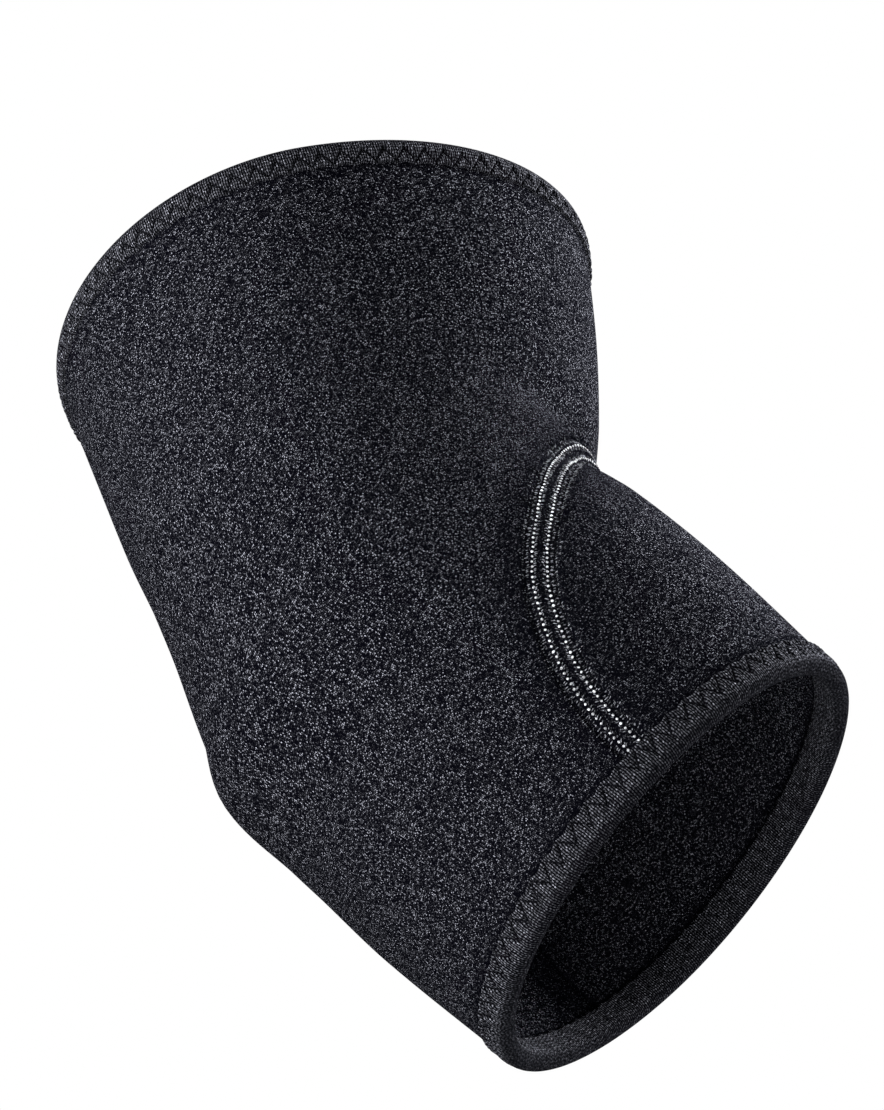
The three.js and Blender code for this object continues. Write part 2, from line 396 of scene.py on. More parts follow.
PANEL_EDGE = 3.1 * MM  # from the middle of the seam
PANEL_ROLL = 1.1 * MM
PANEL_ROLL_ROWS = 6
BORDER = 5.6 * MM  # where the grid ends and the rows along the seam begin
BORDER_ROW = 0.45  # share of the flat border before its one row of points


def panel_grid(sign):
    """Station, angle and faces of the panel on one side of the seam; sign is 1 for the forearm panel."""
    rows = int(round((UPPER_LENGTH + FOREARM_LENGTH - 2 * TAPE_FOLD) / CELL_DOWN))
    stations = np.linspace(TAPE_FOLD - UPPER_LENGTH, FOREARM_LENGTH - TAPE_FOLD, rows + 1)
    angles = np.linspace(-math.pi, math.pi, CELL_ROUND, endpoint=False)
    station, angle = (v.ravel() for v in np.meshgrid(stations, angles, indexing="ij"))
    _, across = seam.nearest(cloth_point(station, angle))
    inside = sign * across - BORDER
    places = list(zip(station, angle))
    cut = {}

    def crossing(a, b):
        """The point where an edge of the grid crosses the border."""
        key = (min(a, b), max(a, b))
        if key not in cut:
            a, b = key
            share = inside[a] / (inside[a] - inside[b])
            step = (angle[b] - angle[a] + math.pi) % (2 * math.pi) - math.pi
            cut[key] = len(places)
            places.append((station[a] + share * (station[b] - station[a]), angle[a] + share * step))
        return cut[key]

    faces = []
    for row in range(rows):
        for column in range(CELL_ROUND):
            after = (column + 1) % CELL_ROUND
            corners = [row * CELL_ROUND + column, (row + 1) * CELL_ROUND + column]
            corners += [(row + 1) * CELL_ROUND + after, row * CELL_ROUND + after]
            if all(inside[c] >= 0 for c in corners):
                faces.append(corners)
            elif any(inside[c] >= 0 for c in corners):
                kept = []
                for a, b in zip(corners, corners[1:] + corners[:1]):
                    if inside[a] >= 0:
                        kept.append(a)
                    if (inside[a] >= 0) != (inside[b] >= 0):
                        kept.append(crossing(a, b))
                faces.append(kept)
    return places, faces, set(cut.values())


def add_border(places, faces, cut, sign):
    """Rows of faces from the cut line to the panel's rounded edge beside the seam."""
    edges = [edge for edge in boundary_edges(faces) if edge[0] in cut and edge[1] in cut]
    ends = sorted({end for edge in edges for end in edge})
    station, angle = np.array([places[end] for end in ends]).T
    at, _ = seam.nearest(cloth_point(station, angle))
    turns = np.linspace(0, math.pi / 2, PANEL_ROLL_ROWS + 1)
    distances = [BORDER - BORDER_ROW * (BORDER - PANEL_EDGE - PANEL_ROLL)]
    distances += list(PANEL_EDGE + PANEL_ROLL * (1 - np.sin(turns)))
    before = {end: end for end in ends}
    for distance in distances:
        here = {end: len(places) + k for k, end in enumerate(ends)}
        places.extend(zip(*seam.place(at, sign * distance)))
        for start, stop in edges:
            faces.append([before[stop], before[start], here[start], here[stop]])
        before = here


def panel_uvs(faces, station, angle):
    """The cloth's coordinates at the faces' corners, carried on where the angle starts again."""
    turn = math.pi * ELBOW_DEPTH
    across = angle * ELBOW_DEPTH / 2
    corners = []
    for face in faces:
        here = [across[i] for i in face]
        wraps = max(here) - min(here) > turn / 2
        corners.extend((u + turn if wraps and u < 0 else u, station[i]) for u, i in zip(here, face))
    return np.array(corners)


def panel_painted_shade(station, across, sign):
    """Painted shade on the cloth: darker beside the seam, further out on the forearm panel, and along the
    tapes' free edges.
    """
    from_seam = np.maximum(np.abs(across) - PANEL_EDGE, 0)
    from_upper_tape = UPPER_LENGTH + station - UPPER_TAPE_WIDTH
    from_lower_tape = FOREARM_LENGTH - station - LOWER_TAPE_WIDTH
    dark = 0 * station
    for distance, reach, depth in (
        (from_seam, 1.3 * MM, 1.0),
        (from_seam, 5 * MM, 0.6),
        (from_seam, 14 * MM, 0.37 if sign > 0 else 0.0),
        (from_upper_tape, 0.9 * MM, 0.9),
        (from_lower_tape, 1.5 * MM, 1.0),
    ):
        dark = np.maximum(dark, depth * hill(distance / reach))
    return dark


def panel(name, sign):
    """A panel of cloth with an outer face, an inner face and a rim."""
    places, faces, cut = panel_grid(sign)
    add_border(places, faces, cut, sign)
    used = sorted({i for face in faces for i in face})
    renumber = {old: new for new, old in enumerate(used)}
    faces = [[renumber[i] for i in face] for face in faces]
    station, angle = np.array([places[i] for i in used]).T
    _, across = seam.nearest(cloth_point(station, angle))
    height = -roll(np.abs(across) - PANEL_EDGE, PANEL_ROLL)
    outer = offset_point(station, angle, height)
    inner = offset_point(station, angle, -CLOTH_WALL)
    count = len(used)
    inner_faces = [[i + count for i in reversed(face)] for face in faces]
    rim = [[a + count, b + count, b, a] for a, b in boundary_edges(faces)]
    faces = faces + inner_faces + rim
    uvs = panel_uvs(faces, np.tile(station, 2), np.tile(angle, 2))
    positions = np.concatenate([outer, inner])
    obj = make_object(name + "_cloth", positions, faces, uvs, cloth, name)
    # Painted shade, on both faces of the panel
    set_painted_shade(obj, np.tile(panel_painted_shade(station, across, sign), 2))
    return obj


# Materials

WAVE_TURN = 20 / math.tau  # a wave texture's bands repeat every tau / 20 of a unit
KNIT_PITCH = 0.33 * MM
PATCH_SIZE = 9 * MM
TAPE_RIB = 0.52 * MM
TAPE_CHAIN = 0.75 * MM


def node_material(name, roughness, gloss):
    """A plain material, its nodes and its shader."""
    material = bpy.data.materials.new(name)
    material.use_nodes = True
    tree = material.node_tree
    shader = tree.nodes["Principled BSDF"]
    shader.inputs["Roughness"].default_value = roughness
    shader.inputs["Specular IOR Level"].default_value = gloss
    return material, tree, shader


def add(tree, kind, **settings):
    """A shader node, with its settings and the values of its inputs."""
    node = tree.nodes.new("ShaderNode" + kind)
    for key, value in settings.items():
        if key in node.bl_rna.properties:
            setattr(node, key, value)
        else:
            node.inputs[key].default_value = value
    return node


def map_range(tree, value, low, high, start=0.0, end=1.0, smooth=False):
    """A value that goes from start to end while the given one goes from low to high."""
    node = add(tree, "MapRange", interpolation_type="SMOOTHSTEP" if smooth else "LINEAR")
    for name, number in (("From Min", low), ("From Max", high), ("To Min", start), ("To Max", end)):
        node.inputs[name].default_value = number
    tree.links.new(value, node.inputs["Value"])
    return node.outputs["Result"]


def maths(tree, operation, first, second):
    """A sum, product or power of a value and a second one, which may be a plain number."""
    node = add(tree, "Math", operation=operation)
    tree.links.new(first, node.inputs[0])
    if isinstance(second, float):
        node.inputs[1].default_value = second
    else:
        tree.links.new(second, node.inputs[1])
    return node.outputs[0]


def times(tree, *values):
    """The product of two or more values."""
    product = values[0]
    for value in values[1:]:
        product = maths(tree, "MULTIPLY", product, value)
    return product


def mix_colours(tree, factor, first, second):
    """The first colour where the factor is 0, the second where it is 1."""
    node = add(tree, "Mix", data_type="RGBA")
    colour_inputs = node.inputs[6], node.inputs[7]  # the ones before are for numbers and vectors
    tree.links.new(factor, node.inputs["Factor"])
    for socket, colour in zip(colour_inputs, (first, second)):
        socket.default_value = colour + (1,)
    return node.outputs[2]


def scaled_uv(tree, across, along, turn=0.0):
    """The cloth's own coordinates, counted in steps of the two given lengths."""
    place = add(tree, "UVMap", uv_map="Cloth")
    mapping = add(tree, "Mapping", vector_type="TEXTURE")
    mapping.inputs["Scale"].default_value = (across, along, 1)
    mapping.inputs["Rotation"].default_value = (0, 0, turn)
    tree.links.new(place.outputs["UV"], mapping.inputs["Vector"])
    return mapping.outputs["Vector"]


def texture(tree, kind, vector, **settings):
    """A texture node that repeats with the given vector."""
    node = add(tree, kind, Scale=1.0, **settings)
    tree.links.new(vector, node.inputs["Vector"])
    return node


def bands(tree, direction, vector, distortion, detail):
    """Soft bands that repeat along X or Y, a little uneven."""
    wave = texture(
        tree,
        "TexWave",
        vector,
        wave_type="BANDS",
        bands_direction=direction,
        Distortion=distortion,
        Detail=detail,
    )
    return wave.outputs["Fac"]


def chances(tree, cells):
    """Random numbers that are the same all over a cell."""
    node = add(tree, "SeparateColor")
    tree.links.new(cells.outputs["Color"], node.inputs["Color"])
    return node.outputs["Red"], node.outputs["Green"]


def painted_shade_brightness(tree, brightest, darkest):
    """Painted shade: brightness that falls from the brightest to the darkest value as the points' dark mark
    goes from 0 to 1.
    """
    dark = add(tree, "Attribute", attribute_name="dark")
    return map_range(tree, dark.outputs["Fac"], 0.0, 1.0, brightest, darkest)


def add_bump(tree, shader, height, strength, distance):
    """Fine relief, as deep as the distance where the height changes by 1."""
    bump = add(tree, "Bump", Strength=strength, Distance=distance)
    tree.links.new(height, bump.inputs["Height"])
    tree.links.new(bump.outputs["Normal"], shader.inputs["Normal"])


def cloth_material(name, turn, brightness=1.0):
    """Fine knit in faint slanting rows, a loop in each cell; each loop's own brightness, highest at its
    middle, is painted highlight, with rare bright painted glints.
    """
    material, tree, shader = node_material(name, 0.8, 0.0)
    cell_uv = scaled_uv(tree, KNIT_PITCH, KNIT_PITCH, turn)
    cells = texture(tree, "TexVoronoi", cell_uv, feature="F1", Randomness=0.5)
    loop = map_range(tree, cells.outputs["Distance"], 0.06, 0.52, 1.0, 0.0, smooth=True)
    chance, other_chance = chances(tree, cells)
    # Painted highlights: each loop gets its own brightness, and a few get a brighter glint
    painted_loop_highlight = map_range(tree, maths(tree, "POWER", chance, 3.0), 0.0, 1.0, 0.05, 1.35)
    painted_glint = map_range(tree, other_chance, 0.988, 0.99)
    patches = texture(tree, "TexNoise", scaled_uv(tree, PATCH_SIZE, PATCH_SIZE, turn), Detail=3.0)
    patch = map_range(tree, patches.outputs["Fac"], 0.3, 0.7, 0.95, 1.05)
    row_uv = scaled_uv(tree, 2.4 * KNIT_PITCH * WAVE_TURN, PATCH_SIZE, turn + math.radians(35))
    slant = map_range(tree, bands(tree, "X", row_uv, 1.5, 1.0), 0.0, 1.0, 0.88, 1.12)
    # Painted shade from the points' dark mark: down to a tenth as bright
    shade = painted_shade_brightness(tree, brightness, 0.1 * brightness)
    light = times(tree, maths(tree, "ADD", painted_loop_highlight, painted_glint), loop, times(tree, slant, patch), shade)
    colour = mix_colours(tree, light, (0.001, 0.001, 0.002), (0.262, 0.268, 0.31))
    tree.links.new(colour, shader.inputs["Base Color"])
    add_bump(tree, shader, loop, 0.7, 0.1 * MM)
    return material


def tape_material():
    """Knit tape: fine ribs across it, and chain lines along its fold."""
    material, tree, shader = node_material("Tape knit", 0.8, 0.0)
    ribs = bands(tree, "X", scaled_uv(tree, TAPE_RIB * WAVE_TURN, 1.2 * MM), 3.0, 2.0)
    chains = bands(tree, "Y", scaled_uv(tree, 1.5 * MM, TAPE_CHAIN * WAVE_TURN), 1.5, 1.0)
    cell_uv = scaled_uv(tree, 0.38 * MM, 0.5 * MM)
    cells = texture(tree, "TexVoronoi", cell_uv, feature="F1", Randomness=0.8)
    loop = map_range(tree, cells.outputs["Distance"], 0.1, 0.6, 1.0, 0.0, smooth=True)
    rib = map_range(tree, ribs, 0.25, 0.85, smooth=True)
    rib = times(tree, rib, map_range(tree, chains, 0.0, 1.0, 0.15, 1.0))
    # Painted highlights: each loop of the tape gets its own brightness
    painted_loop_highlight = map_range(tree, chances(tree, cells)[0], 0.0, 1.0, 0.08, 1.0)
    open_loop = map_range(tree, loop, 0.0, 1.0, 0.3, 1.0)
    # Painted shade from the points' dark mark: down to 0.08 as bright
    light = times(tree, rib, painted_loop_highlight, open_loop, painted_shade_brightness(tree, 1.0, 0.08))
    colour = mix_colours(tree, light, (0.001, 0.001, 0.0016), (0.43, 0.438, 0.505))
    tree.links.new(colour, shader.inputs["Base Color"])
    add_bump(tree, shader, maths(tree, "ADD", rib, times(tree, loop, 0.5)), 0.8, 0.15 * MM)
    return material


def thread_material(name, colour, darkest, lightest, roughness, gloss):
    """Thread whose brightness changes from fibre to fibre, between two shares of its colour."""
    material, tree, shader = node_material(name, roughness, gloss)
    place = add(tree, "TexCoord")
    noise = add(tree, "TexNoise", Scale=1400.0, Detail=1.0)
    tree.links.new(place.outputs["Object"], noise.inputs["Vector"])
    dark, light = (tuple(share * c for c in colour) for share in (darkest, lightest))
    change = map_range(tree, noise.outputs["Fac"], 0.4, 0.6)
    tree.links.new(mix_colours(tree, change, dark, light), shader.inputs["Base Color"])
    return material


cloth = cloth_material("Knit cloth", math.radians(8))
# The seam's sunken strip: the same knit, 0.3 as bright, as painted shade in the recess
seam_cloth = cloth_material("Seam cloth", math.radians(45), 0.3)
dark_thread = thread_material("Dark thread", (0.003, 0.003, 0.004), 0.5, 1.5, 0.8, 0.0)
grey_thread = thread_material("Grey thread", (0.2, 0.206, 0.23), 0.06, 1.3, 0.8, 0.0)
pale_thread = thread_material("Pale thread", (0.52, 0.53, 0.56), 0.5, 1.3, 0.6, 0.25)
tape_cloth = tape_material()


# Threads


def thread_tubes(points, normals, radius, sides, closed=False, flatness=1.0):
    """Threads along lines of points, given as (threads, points of each, xyz). flatness 1 is round."""
    threads, count, _ = points.shape
    if closed:
        tangent = np.roll(points, -1, axis=1) - np.roll(points, 1, axis=1)
    else:
        tangent = np.gradient(points, axis=1)
    across = np.cross(tangent, normals)
    across /= np.linalg.norm(across, axis=2, keepdims=True)
    turns = np.linspace(0, 2 * math.pi, sides, endpoint=False)[:, None]
    ring = across[:, :, None] * np.cos(turns) + normals[:, :, None] * flatness * np.sin(turns)
    positions = points[:, :, None] + np.broadcast_to(radius, (threads, count))[:, :, None, None] * ring
    index = np.arange(threads * count * sides).reshape(threads, count, sides)
    here = index if closed else index[:, :-1]
    there = np.roll(index, -1, axis=1) if closed else index[:, 1:]
    quads = np.stack([here, np.roll(here, -1, axis=2), np.roll(there, -1, axis=2), there], axis=3)
    faces = quads.reshape(-1, 4).tolist()
    if not closed:
        faces += index[:, 0, ::-1].tolist() + index[:, -1].tolist()
    return positions.reshape(-1, 3), faces


def along_seam(at, across, height):
    """Points over the seam and the cloth's normals there."""
    station, angle = seam.place(at, across)
    return offset_point(station, angle, height), outward(cloth_point, station, angle)


# Flat seam

RIDGE_HEIGHT = 0.22 * MM
RIDGE_REACH = 0.55 * MM
STITCH_ROW = 1.43 * MM  # from the middle of the seam
STITCH_PITCH = 1.22 * MM
STITCH_RADIUS = 0.26 * MM
STITCH_HALF_LENGTH = 0.17  # in pitches
STITCH_LEAN = 0.2 * MM
STITCH_FLATNESS = 0.4
STITCH_LIFT = 0.07 * MM
STITCH_SAG = 0.16 * MM  # how much lower its ends lie
STITCH_SIDES = 8
LOOPER_RADIUS = 0.08 * MM
LOOPER_SAG = 0.3 * MM
LOOPER_SIDES = 5
END_THREAD_RADIUS = 0.12 * MM
THREAD_POINTS = 7
BAND_TOP_POINTS = 29
BAND_BOTTOM_POINTS = 5

# Columns: where across the seam a thread starts and ends, its lean in pitches, bare way from the crook
LOOPER_ROWS = [
    (-STITCH_ROW + 0.3 * MM, -STITCH_ROW + 0.9 * MM, 0.4, 0),
    (STITCH_ROW - 0.3 * MM, STITCH_ROW - 0.9 * MM, 0.4, 0),
    (-2.1 * MM, -2.7 * MM, -0.2, 20 * MM),
    (2.1 * MM, 2.7 * MM, 0.2, 20 * MM),
    (-3.1 * MM, -3.9 * MM, -0.3, 36 * MM),
    (3.1 * MM, 3.9 * MM, 0.3, 36 * MM),
]


def seam_height(across):
    """The strip's face: margins that sink from the panels, a ridge under each row, a groove between."""
    return -SEAM_SINK + RIDGE_HEIGHT * hill((np.abs(across) - STITCH_ROW) / RIDGE_REACH)


def seam_band():
    """The sunken strip under the threads, as a closed flat tube along the seam."""
    half = SEAM_WIDTH / 2 - CLEARANCE / 2
    top = np.linspace(-half, half, BAND_TOP_POINTS)
    bottom = np.linspace(half, -half, BAND_BOTTOM_POINTS)
    loop_across = np.concatenate([top, bottom])
    loop_height = np.concatenate([seam_height(top), 0 * bottom - SEAM_SINK - SEAM_WALL])
    count, size = len(seam.shown), len(loop_across)
    at = np.repeat(seam.shown, size)
    across = np.tile(loop_across, count)
    positions, _ = along_seam(at, across, np.tile(loop_height, count))
    index = np.arange(count * size).reshape(count, size)
    after = np.roll(index, -1, axis=1)
    faces = np.stack([index[:-1], after[:-1], after[1:], index[1:]], axis=2).reshape(-1, 4).tolist()
    faces += [index[0, ::-1].tolist(), index[-1].tolist()]
    uvs = at_corners(faces, np.column_stack([across, at]))
    return make_object("flat_seam_band", positions, faces, uvs, seam_cloth, "flat_seam")


def stitch_starts(per_pitch):
    """Where the stitches start along the seam."""
    return np.arange(
        seam.shown[0] + STITCH_PITCH, seam.shown[-1] - 2 * STITCH_PITCH, STITCH_PITCH / per_pitch
    )


def seam_stitches():
    """Two rows of short pale stitches, each a little different."""
    random = np.random.default_rng(3)
    starts = stitch_starts(1)
    rows = np.repeat([-STITCH_ROW, STITCH_ROW], len(starts))[:, None]
    starts = np.tile(starts, 2)[:, None]
    shape = starts.shape
    t = np.linspace(-1, 1, THREAD_POINTS)
    middle = 0.5 + random.normal(0, 0.03, shape)
    at = starts + STITCH_PITCH * (middle + random.normal(STITCH_HALF_LENGTH, 0.02, shape) * t)
    row = rows + random.normal(0, 0.05, shape) * MM
    lean = random.normal(STITCH_LEAN / MM, 0.05, shape) * MM * t
    height = seam_height(STITCH_ROW) + STITCH_LIFT - STITCH_SAG * t**2
    points, normals = along_seam(at, row + lean, height)
    radius = STITCH_RADIUS * random.normal(1, 0.08, shape) * np.sqrt(np.clip(1.04 - t**2, 0, 1))
    positions, faces = thread_tubes(points, normals, radius, STITCH_SIDES, flatness=STITCH_FLATNESS)
    return make_object("flat_seam_stitches", positions, faces, None, pale_thread, "flat_seam")


def laid_threads(at, across, t, radius):
    """Threads on the strip and up over the panels' edges, with both their ends sunk."""
    rise = -seam_height(0.0) * smooth_step((np.abs(across) - PANEL_EDGE) / PANEL_ROLL)
    height = seam_height(across) + rise + LOOPER_RADIUS - LOOPER_SAG * (2 * t - 1) ** 4
    points, normals = along_seam(at, across, height)
    return thread_tubes(points, normals, radius, LOOPER_SIDES)


def looper_threads():
    """Fine threads beside the stitches and over the panels' edges, and one across each end."""
    random = np.random.default_rng(7)
    every_start = stitch_starts(2)
    from_crook = np.abs(every_start - seam.at[-1] / 2)
    t = np.linspace(0, 1, THREAD_POINTS)
    parts = []
    for first, last, lean, bare in LOOPER_ROWS:
        starts = every_start[from_crook > bare][:, None]
        near = first + random.normal(0, 0.12, starts.shape) * MM
        far = last + random.normal(0, 0.2, starts.shape) * MM
        at = starts + random.normal(0, 0.16, starts.shape) * STITCH_PITCH + lean * STITCH_PITCH * t
        parts.append(laid_threads(at, near + (far - near) * t, t, LOOPER_RADIUS))
    ends = np.array([[seam.shown[0] + STITCH_PITCH / 2], [seam.shown[-1] - STITCH_PITCH / 2]])
    across = STITCH_ROW * (2.3 * t - 1.3)  # from a little outside one row to the other row
    parts.append(laid_threads(ends + 0 * t, across + 0 * ends, t, END_THREAD_RADIUS))
    positions, faces = join_parts(parts)
    return make_object("flat_seam_looper", positions, faces, None, grey_thread, "flat_seam")


# Folded tape on the edges

TAPE_PROUD = 0.55 * MM  # how far the tape's face stands over the cloth
FREE_EDGE_WAVE = 0.6 * MM
FREE_EDGE_DROP = 0.2 * MM
FREE_EDGE_DROP_REACH = 0.4 * MM
FREE_EDGE_TUCK = 0.3 * MM  # how deep the outer free edge ends in the cloth
INNER_EDGE_TUCK = 0.7 * MM
ZIGZAG_PITCH = 4.5 * MM
UPPER_ZIGZAG = (2.9 * MM, 6.2 * MM)  # how far from the edge the thread turns back
LOWER_ZIGZAG = (3.3 * MM, 6.9 * MM)
ZIGZAG_RADIUS = 0.15 * MM
ZIGZAG_GROOVE = 0.5 * MM
ZIGZAG_GROOVE_REACH = 0.42 * MM
ZIGZAG_SINK = 0.25 * MM  # how much deeper the thread lies where it turns
ZIGZAG_SINK_REACH = 0.08  # as a share of the way from turn to turn
ZIGZAG_RISE = 0.09 * MM  # how far the thread's middle stands over the tape
ZIGZAG_SIDES = 6
ZIGZAG_STEPS = 16
TAPE_PLUMP = 0.25 * MM  # how much the tape bulges between the threads
TAPE_PLUMP_START = 2 * MM  # from the edge
TAPE_PLUMP_RISE = 1 * MM
# Painted shade on the tape: along the thread, most where it turns by the edge, and over the fold
THREAD_GROOVE_SHADE = 0.45
THREAD_GROOVE_SHADE_REACH = 0.3 * MM
TURN_PIT_SHADE = 0.5  # added where the thread turns by the edge
TURN_PIT_SHADE_REACH = 0.2  # as a share of the way from turn to turn
FOLD_SHADE = 0.82
FOLD_SHADE_END = 2.4 * MM  # from the edge
FOLD_SHADE_FADE = 1.8 * MM
TAPE_STEPS = 18
OUTER_ROWS = 17
FOLD_ROWS = 15
INNER_ROWS = 9
ROUND_STEPS = 4000  # in which the length round the hem is summed


class Hem:
    """One taped edge: distances run from the edge into the sleeve, phases count the zigzags."""

    def __init__(self, edge, inwards, width, near, far):
        self.edge, self.inwards, self.width, self.near, self.far = edge, inwards, width, near, far
        self.turns = np.linspace(0, 2 * math.pi, ROUND_STEPS + 1)
        self.length = line_length(offset_point(edge + inwards * near, self.turns, 0))
        self.count = int(round(self.length[-1] / ZIGZAG_PITCH))

    def angle(self, phase):
        """The angle round the arm, so that every zigzag is as long as the others."""
        return np.interp(phase / self.count * self.length[-1], self.length, self.turns)

    def swing(self, phase):
        """0 at the thread's corners by the edge, 1 at its corners inwards."""
        return 1 - 2 * np.abs(phase % 1 - 0.5)

    def thread_distance(self, phase):
        """How far from the edge the thread lies."""
        return self.near + (self.far - self.near) * self.swing(phase)

    def free_edge(self, phase):
        """Where the tape ends: it bulges inwards between the thread's corners by the edge."""
        return self.width + FREE_EDGE_WAVE * (self.swing(phase) ** 2 - 0.5)

    def off_thread(self, phase, distance):
        """How far a point of the tape is from the thread."""
        slope = 2 * (self.far - self.near) / ZIGZAG_PITCH
        return (distance - self.thread_distance(phase)) / math.hypot(1, slope)

    def face_height(self, phase, distance):
        """The tape's outer face, drawn down along the thread."""
        groove = ZIGZAG_GROOVE * hill(self.off_thread(phase, distance) / ZIGZAG_GROOVE_REACH)
        off_fold = smooth_step((distance - TAPE_PLUMP_START) / TAPE_PLUMP_RISE)
        return TAPE_PROUD - groove + TAPE_PLUMP * np.sin(math.pi * self.swing(phase)) * off_fold

    def dark(self, phase, distance):
        """Painted shade on the tape: in the groove along the thread, most in the pits where it turns, where
        it tucks under its free edge, and on the fold.
        """
        depth = THREAD_GROOVE_SHADE + TURN_PIT_SHADE * hill(self.swing(phase) / TURN_PIT_SHADE_REACH)
        along_thread = depth * hill(self.off_thread(phase, distance) / THREAD_GROOVE_SHADE_REACH)
        under_edge = distance > self.free_edge(phase) + 0.01 * MM
        on_fold = FOLD_SHADE * smooth_step((FOLD_SHADE_END - distance) / FOLD_SHADE_FADE)
        return np.maximum(np.maximum(along_thread, under_edge), on_fold)

    def point(self, phase, distance, height):
        """Points over the hem and the cloth's normals there."""
        angle = self.angle(phase)
        station = self.edge + self.inwards * distance
        return offset_point(station, angle, height), outward(cloth_point, station, angle)


def tape_section(hem, phase):
    """Distance from the edge and height of the tape's skin, from one free edge round to the other."""
    radius = CLOTH_WALL / 2 + TAPE_PROUD
    middle = -CLOTH_WALL / 2
    edge = hem.free_edge(phase)
    turns = np.linspace(0, math.pi, FOLD_ROWS)[1:-1]
    outer = radius + (edge - radius) * np.linspace(1, 0, OUTER_ROWS)
    drop = FREE_EDGE_DROP * smooth_step(1 - (edge - outer) / FREE_EDGE_DROP_REACH)
    fold = radius - radius * np.sin(turns)
    inner = radius + (edge - radius) * np.linspace(0, 1, INNER_ROWS)
    distance = [edge + 0.05 * MM, outer, fold + 0 * edge, inner, edge]
    height = [
        0 * edge - FREE_EDGE_TUCK,
        hem.face_height(phase, outer) - drop,
        middle + radius * np.cos(turns) + 0 * edge,
        0 * inner + middle - radius,
        0 * edge + middle - radius + INNER_EDGE_TUCK,
    ]
    return np.concatenate(distance, axis=1), np.concatenate(height, axis=1)


def binding(name, hem):
    """The tape as one skin round the edge, from its free edge outside to the one inside."""
    count = hem.count * TAPE_STEPS
    phase = np.arange(count)[:, None] / TAPE_STEPS
    distance, height = tape_section(hem, phase)
    size = distance.shape[1]
    columns = np.repeat(phase, size)
    positions, _ = hem.point(columns, distance.ravel(), height.ravel())
    index = np.arange(count * size).reshape(count, size)
    after = np.roll(index, -1, axis=0)
    quads = np.stack([index[:, :-1], after[:, :-1], after[:, 1:], index[:, 1:]], axis=2).reshape(-1, 4)
    faces = quads.tolist() if hem.inwards < 0 else quads[:, ::-1].tolist()
    step = np.hypot(np.diff(distance, axis=1), np.diff(height, axis=1))
    down_tape = np.concatenate([0 * step[:, :1], np.cumsum(step, axis=1)], axis=1)
    uvs = at_corners(faces, np.column_stack([columns * ZIGZAG_PITCH, down_tape.ravel()]))
    obj = make_object(name + "_tape", positions, faces, uvs, tape_cloth, name)
    # The tape's painted shade, as a mark on its points
    set_painted_shade(obj, hem.dark(phase, distance).ravel())
    return obj


def zigzag(name, hem):
    """The thread that holds the tape, sunk where it turns."""
    phase = np.arange(hem.count * ZIGZAG_STEPS) / ZIGZAG_STEPS
    swing = hem.swing(phase)
    at_turns = hill(swing / ZIGZAG_SINK_REACH) + hill((1 - swing) / ZIGZAG_SINK_REACH)
    distance = hem.thread_distance(phase)
    height = hem.face_height(phase, distance) + ZIGZAG_RISE - ZIGZAG_SINK * at_turns
    points, normals = hem.point(phase, distance, height)
    positions, faces = thread_tubes(points[None], normals[None], ZIGZAG_RADIUS, ZIGZAG_SIDES, closed=True)
    return make_object(name + "_zigzag", positions, faces, None, dark_thread, name)


main_panel = panel("main_panel", -1)
forearm_panel = panel("forearm_panel", 1)
seam_pieces = [seam_band(), seam_stitches(), looper_threads()]
hems = {
    "upper_binding": Hem(-UPPER_LENGTH, 1, UPPER_TAPE_WIDTH, *UPPER_ZIGZAG),
    "lower_binding": Hem(FOREARM_LENGTH, -1, LOWER_TAPE_WIDTH, *LOWER_ZIGZAG),
}
tape_pieces = [make(name, hem) for make in (binding, zigzag) for name, hem in hems.items()]


# Floor, light and camera

FLOOR_DROP = 0.75
FLOOR_HALF = 4
FLOOR_GLOW = 0.55  # makes the floor pale for the camera alone, so it throws no light on the brace
FILL_STRENGTH = 0.02
FILL_COLOUR = (0.93, 0.96, 1, 1)

# Columns: name, direction as shares of the camera's right, up and back, distance, width, height, watts
LIGHTS = [
    ("rear_top", 0.0, 0.71, -0.71, 1.0, 0.7, 0.5, 44),
    ("rear_right", 0.83, 0.26, -0.5, 1.0, 0.5, 0.7, 35),
    ("high_right", 0.75, 0.52, -0.38, 1.0, 0.25, 0.25, 13),
    ("front_left", -0.45, 0.2, 0.8, 1.0, 0.4, 0.4, 4.2),
    ("near_left", -0.85, 0.25, 0.45, 0.35, 0.2, 0.3, 2.9),
]

# The camera looks up at the brace from below its crook side, and is turned about its own axis
CAMERA_AZIMUTH = math.radians(-16.5)
CAMERA_ELEVATION = math.radians(-35)
CAMERA_ROLL = math.radians(-20)
CAMERA_DISTANCE = 1.088
PHOTO_WIDTH = 884
PHOTO_HEIGHT = 1110
ORIGIN_PIXEL = (397.5, 629.5)
PIXEL_SIZE = 0.2 * MM  # of the photo, at the origin
SENSOR = 36


def make_floor():
    """A wide pale floor well below the brace."""
    mesh = bpy.data.meshes.new("floor")
    square = ((-1, -1), (1, -1), (1, 1), (-1, 1))
    corners = [(x * FLOOR_HALF, y * FLOOR_HALF, -FLOOR_DROP) for x, y in square]
    mesh.from_pydata(corners, [], [(0, 1, 2, 3)])
    floor = bpy.data.objects.new("floor", mesh)
    bpy.context.scene.collection.objects.link(floor)
    material, tree, shader = node_material("Floor", 0.9, 0.25)
    shader.inputs["Base Color"].default_value = (0.9, 0.9, 0.9, 1)
    shader.inputs["Emission Color"].default_value = (1, 1, 1, 1)
    seen = add(tree, "LightPath")
    glow = times(tree, seen.outputs["Is Camera Ray"], FLOOR_GLOW)
    tree.links.new(glow, shader.inputs["Emission Strength"])
    floor.data.materials.append(material)


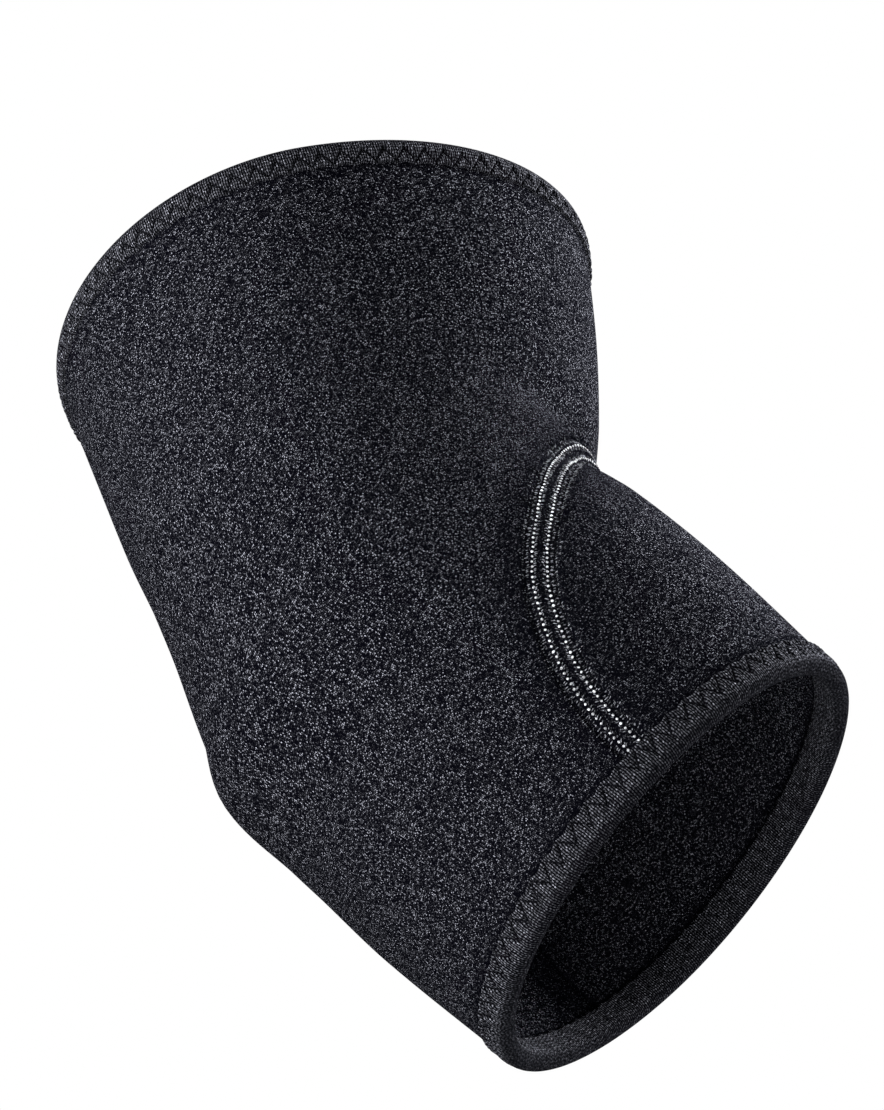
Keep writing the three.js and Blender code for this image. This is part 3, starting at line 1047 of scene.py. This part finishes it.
def camera_axes():
    """Unit vectors from the brace to the camera, to the picture's right and up it."""
    back = Vector((
        math.sin(CAMERA_AZIMUTH) * math.cos(CAMERA_ELEVATION),
        -math.cos(CAMERA_AZIMUTH) * math.cos(CAMERA_ELEVATION),
        math.sin(CAMERA_ELEVATION),
    ))
    right = Vector((0, 0, 1)).cross(back).normalized()
    up = back.cross(right)
    turned_right = right * math.cos(CAMERA_ROLL) + up * math.sin(CAMERA_ROLL)
    turned_up = up * math.cos(CAMERA_ROLL) - right * math.sin(CAMERA_ROLL)
    return back, turned_right, turned_up


def make_camera(back, right, up):
    """A camera whose picture has the origin at the same pixel as the photo."""
    across = (ORIGIN_PIXEL[0] - PHOTO_WIDTH / 2) * PIXEL_SIZE
    above = (PHOTO_HEIGHT / 2 - ORIGIN_PIXEL[1]) * PIXEL_SIZE
    data = bpy.data.cameras.new("camera")
    data.sensor_width = SENSOR
    data.sensor_fit = "AUTO"
    data.lens = CAMERA_DISTANCE / PIXEL_SIZE * SENSOR / PHOTO_HEIGHT
    data.clip_start, data.clip_end = 0.05, 20
    camera = bpy.data.objects.new("camera", data)
    place = Matrix.Translation(back * CAMERA_DISTANCE - right * across - up * above)
    camera.matrix_world = place @ Matrix((right, up, back)).transposed().to_4x4()
    bpy.context.scene.collection.objects.link(camera)
    bpy.context.scene.camera = camera


def make_world():
    """A white backdrop for the camera, and a faint fill light for everything else."""
    world = bpy.data.worlds.new("studio")
    world.use_nodes = True
    tree = world.node_tree
    backdrop = tree.nodes["Background"]
    backdrop.inputs["Color"].default_value = (1, 1, 1, 1)
    fill = add(tree, "Background", Color=FILL_COLOUR, Strength=FILL_STRENGTH)
    seen = add(tree, "LightPath")
    mix = add(tree, "MixShader")
    tree.links.new(seen.outputs["Is Camera Ray"], mix.inputs["Fac"])
    tree.links.new(fill.outputs[0], mix.inputs[1])
    tree.links.new(backdrop.outputs[0], mix.inputs[2])
    tree.links.new(mix.outputs[0], tree.nodes["World Output"].inputs["Surface"])
    bpy.context.scene.world = world
    bpy.context.scene.view_settings.view_transform = "Standard"


def area_light(name, place, width, height, power):
    """A soft light turned to the brace and unseen by the camera."""
    data = bpy.data.lights.new(name, "AREA")
    data.shape = "RECTANGLE"
    data.size, data.size_y = width, height
    data.energy = power
    light = bpy.data.objects.new(name, data)
    light.location = place
    light.rotation_euler = place.to_track_quat("Z", "Y").to_euler()
    light.visible_camera = False
    bpy.context.scene.collection.objects.link(light)


back, right, up = camera_axes()
make_floor()
make_camera(back, right, up)
make_world()
for name, to_right, to_up, to_back, distance, width, height, power in LIGHTS:
    direction = right * to_right + up * to_up + back * to_back
    area_light(name, direction.normalized() * distance, width, height, power)
